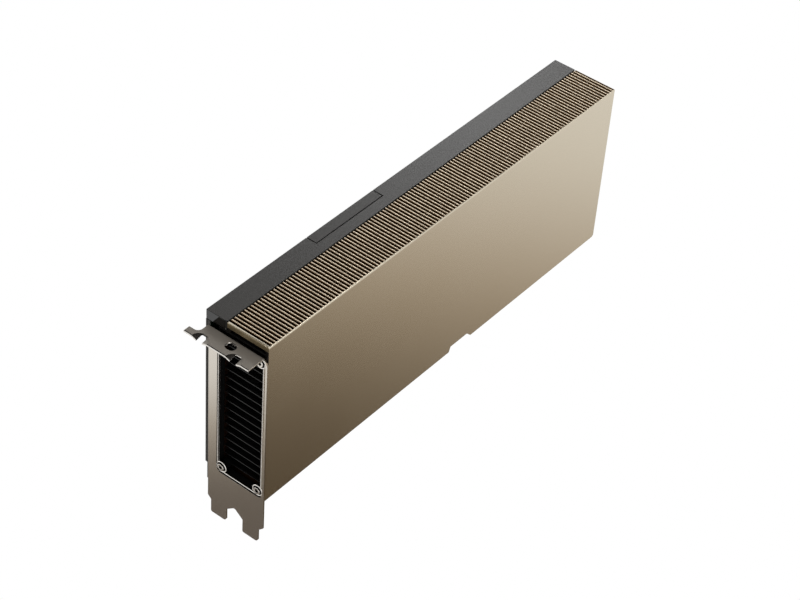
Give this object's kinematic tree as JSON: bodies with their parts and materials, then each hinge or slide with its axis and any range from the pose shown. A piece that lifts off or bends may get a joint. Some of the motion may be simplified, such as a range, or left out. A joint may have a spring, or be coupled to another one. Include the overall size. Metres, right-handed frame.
{
  "type": "passive accelerator card",
  "caption": "Full-height passive accelerator card: champagne shroud with a ribbed top, dark top rail, nickel slot bracket round an open fin duct, and an edge connector below.",
  "frame": {"origin": "centre of the key notch in the edge connector, at the contact edge and on the board's mid-plane", "axes": "+X from the slot bracket to the open rear end, +Y from the cooler's face to the backplate, +Z from the contact edge to the top of the card"},
  "size_m": [0.2782, 0.0407, 0.1264],
  "materials": {
    "shroud_finish": "satin champagne anodised, darker at the lower front",
    "rail_plastic": "fine matte, dark grey",
    "cover_plastic": "fine matte, dark grey",
    "board_laminate": "solder mask over laminate",
    "contact_plating": "hard gold plating",
    "backplate_coat": "matte black coat",
    "film": "clear-coated film",
    "bracket_nickel": "satin nickel plate",
    "screw_nickel": "nickel plate",
    "screw_black": "black oxide",
    "frame_plastic": "matte black",
    "rear_frame_metal": "black coat",
    "base_copper": "darkened copper",
    "fin_metal": "plain sheet",
    "substrate": "laminate",
    "silicon": "polished",
    "interface_pad": "soft, matte",
    "chip_plastic": "moulded",
    "ferrite": "sintered",
    "capacitor_can": "plain can",
    "socket_plastic": "moulded black",
    "standoff_brass": "turned"
  },
  "bodies": {
    "root": {"shroud": "shroud_finish", "top_rail": "rail_plastic", "bridge_cover": "cover_plastic", "circuit_board": "board_laminate", "edge_contacts": "contact_plating", "backplate": "backplate_coat", "insulation_film": "film", "bracket": "bracket_nickel", "bracket_screws": "screw_nickel", "front_frame": "frame_plastic", "heatsink_base": "base_copper", "heatsink_fins": "fin_metal", "fin_cover": "fin_metal", "package_substrate": "substrate", "processor_die": "silicon", "memory_stacks": "silicon", "thermal_interface": "interface_pad", "power_inductors": "ferrite", "power_stages": "chip_plastic", "thermal_pads": "interface_pad", "capacitors": "capacitor_can", "power_socket": "socket_plastic", "power_pins": "contact_plating", "rear_frame": "rear_frame_metal", "standoffs": "standoff_brass", "package_screws": "screw_black"}
  },
  "joints": []
}
